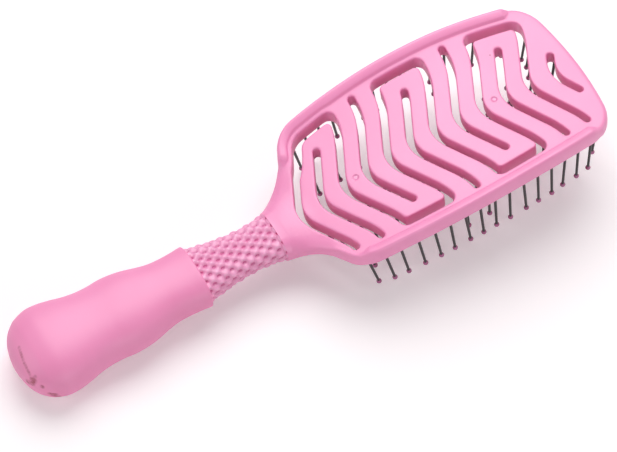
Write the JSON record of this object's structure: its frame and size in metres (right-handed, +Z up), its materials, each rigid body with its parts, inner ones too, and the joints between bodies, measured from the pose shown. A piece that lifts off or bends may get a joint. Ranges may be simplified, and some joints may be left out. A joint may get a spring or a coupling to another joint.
{
  "type": "detangling brush",
  "caption": "Vented detangling hair brush: an arched flexible head with chevron slots, ball-tipped nylon pins and a waisted handle with a textured neck band.",
  "frame": {"origin": "middle of the bounding box of the brush at rest, on the surface that it lies on", "axes": "+X along the brush from the handle end to the head's tip, +Y across the head, +Z up from the surface; the brush lies pins down on its handle end and the first pins"},
  "size_m": [0.242, 0.0744, 0.0425],
  "materials": {
    "shell_plastic": "satin",
    "band_grip": "soft touch",
    "soft_grip": "soft touch",
    "pin_nylon": "gloss",
    "ball_coat": "gloss"
  },
  "bodies": {
    "root": {"head_frame": "shell_plastic", "neck_band": "band_grip", "grip_sleeve": "soft_grip", "rim_pins_near": "pin_nylon", "rim_balls_near": "ball_coat", "rim_pins_far": "pin_nylon", "rim_balls_far": "ball_coat", "rib_pins_1": "pin_nylon", "rib_balls_1": "ball_coat", "rib_pins_2": "pin_nylon", "rib_balls_2": "ball_coat", "rib_pins_3": "pin_nylon", "rib_balls_3": "ball_coat", "rib_pins_4": "pin_nylon", "rib_balls_4": "ball_coat", "rib_pins_5": "pin_nylon", "rib_balls_5": "ball_coat", "rib_pins_6": "pin_nylon", "rib_balls_6": "ball_coat", "rib_pins_7": "pin_nylon", "rib_balls_7": "ball_coat", "rib_pins_8": "pin_nylon", "rib_balls_8": "ball_coat", "rib_pins_9": "pin_nylon", "rib_balls_9": "ball_coat", "rib_pins_10": "pin_nylon", "rib_balls_10": "ball_coat", "rib_pins_11": "pin_nylon", "rib_balls_11": "ball_coat", "tip_pins": "pin_nylon", "tip_balls": "ball_coat"}
  },
  "joints": []
}
